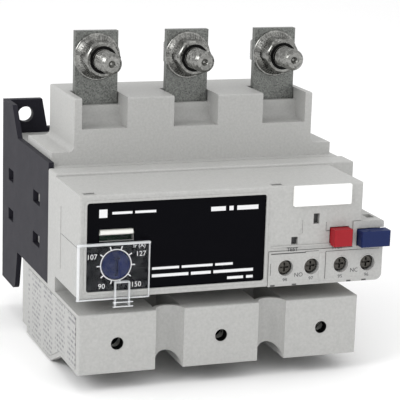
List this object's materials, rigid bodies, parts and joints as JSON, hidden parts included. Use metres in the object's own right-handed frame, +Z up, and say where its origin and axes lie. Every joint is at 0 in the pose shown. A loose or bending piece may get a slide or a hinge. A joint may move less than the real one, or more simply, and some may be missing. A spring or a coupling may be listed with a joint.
{
  "type": "motor overload relay",
  "caption": "Electronic motor overload relay with stud line tabs, shrouded load clamps, setting dial under a hinged clear cover, and stop, reset and test controls.",
  "frame": {"origin": "middle of the rear mounting face", "axes": "+Y out of the rear mounting face, so the controls face -Y; +Z up towards the line tabs; +X to the right seen from the front"},
  "size_m": [0.1202, 0.12, 0.1214],
  "materials": {
    "housing_grey": "fine moulded grain",
    "base_dark": "fine moulded grain",
    "label_black": "printed satin film",
    "tag_white": "smooth",
    "clear_plastic": "clear, polished",
    "hinge_white": "smooth",
    "dial_blue": "smooth",
    "stop_red": "smooth",
    "reset_blue": "smooth",
    "zinc_steel": "bright zinc plated",
    "plated_bar": "rough tin plated copper",
    "clamp_steel": "zinc plated",
    "screw_dark": "dark zinc plated",
    "core_iron": "stacked laminations",
    "coil_copper": "enamelled copper wire",
    "board_green": "solder resist",
    "component_black": "moulded epoxy",
    "spring_steel": "drawn wire",
    "mechanism_cream": "moulded",
    "contact_brass": "stamped strip",
    "flag_grey": "two colour print",
    "plunger_dark": "moulded",
    "clamp_black": "black oxide",
    "side_film": "printed film"
  },
  "bodies": {
    "root": {"rear_base": "base_dark", "base_screws": "screw_dark", "upper_housing": "housing_grey", "floor_plate": "base_dark", "lower_housing": "housing_grey", "shroud_screws": "screw_dark", "side_label": "side_film", "line_bolts": "zinc_steel", "line_nuts": "zinc_steel", "line_lock_washers": "zinc_steel", "line_flat_washers": "zinc_steel", "load_clamp_screws": "clamp_black", "load_pressure_plates": "clamp_steel", "ct_pins": "contact_brass", "sensor_board": "board_green", "board_connector": "component_black", "main_board": "board_green", "board_components": "component_black", "front_cover": "housing_grey", "front_label": "label_black", "marker_tag": "tag_white", "cover_hinge_pin": "hinge_white", "potentiometer": "component_black", "aux_terminal_block": "housing_grey", "aux_terminal_screws": "screw_dark", "aux_saddle_plates": "clamp_steel", "stop_spring": "spring_steel", "reset_spring": "spring_steel", "test_spring": "spring_steel", "mechanism_frame": "mechanism_cream", "lever_pin": "spring_steel", "magnet_yoke": "core_iron", "magnet_coil": "coil_copper", "busbar_left": "plated_bar", "load_clamp_left": "clamp_steel", "ct_core_left": "core_iron", "ct_coil_left": "coil_copper", "busbar_centre": "plated_bar", "load_clamp_centre": "clamp_steel", "ct_core_centre": "core_iron", "ct_coil_centre": "coil_copper", "busbar_right": "plated_bar", "load_clamp_right": "clamp_steel", "ct_core_right": "core_iron", "ct_coil_right": "coil_copper", "terminal_98": "contact_brass", "terminal_97": "contact_brass", "terminal_95": "contact_brass", "terminal_96": "contact_brass"},
    "cover": {"clear_cover": "clear_plastic"},
    "dial": {"setting_dial": "dial_blue"},
    "stop": {"stop_button": "stop_red"},
    "reset": {"reset_button": "reset_blue"},
    "test": {"test_plunger": "plunger_dark"},
    "lever": {"trip_lever": "clamp_steel"},
    "carrier": {"contact_carrier": "mechanism_cream", "no_contact_bridge": "contact_brass", "nc_contact_bridge": "contact_brass"},
    "flag": {"trip_flag": "flag_grey"}
  },
  "joints": [
    {"name": "cover_hinge", "type": "hinge", "parent": "root", "child": "cover", "pos_m": [-0.0459, -0.1132, 0.006], "axis": [-1, 0, 0], "range_deg": [0, 90]},
    {"name": "dial_turn", "type": "hinge", "parent": "root", "child": "dial", "pos_m": [-0.0459, -0.115, -0.0055], "axis": [0, 1, 0], "range_deg": [-165, 165]},
    {"name": "stop_press", "type": "slide", "parent": "root", "child": "stop", "axis": [0, 1, 0], "range_m": [0, 0.0025], "stiffness_N_per_m": 600, "springref_m": -0.002, "deforming": ["stop_spring"]},
    {"name": "reset_press", "type": "slide", "parent": "root", "child": "reset", "axis": [0, 1, 0], "range_m": [0, 0.0025], "stiffness_N_per_m": 600, "springref_m": -0.002, "deforming": ["reset_spring"]},
    {"name": "test_press", "type": "slide", "parent": "root", "child": "test", "axis": [0, 1, 0], "range_m": [0, 0.002], "stiffness_N_per_m": 400, "springref_m": -0.002, "deforming": ["test_spring"]},
    {"name": "lever_trip", "type": "hinge", "parent": "root", "child": "lever", "pos_m": [0.034, -0.0964, 0.0084], "axis": [-1, 0, 0], "range_deg": [0, 12]},
    {"name": "carrier_slide", "type": "slide", "parent": "root", "child": "carrier", "axis": [0, -1, 0], "range_m": [0, 0.00125], "stiffness_N_per_m": 400, "springref_m": -0.001},
    {"name": "flag_slide", "type": "slide", "parent": "root", "child": "flag", "axis": [0, 0, -1], "range_m": [0, 0.0032]}
  ],
  "couplings": [
    {"joint": "lever_trip", "follows": "carrier_slide", "rad_per_m": 167.53},
    {"joint": "flag_slide", "follows": "carrier_slide", "ratio": 2.5597}
  ]
}
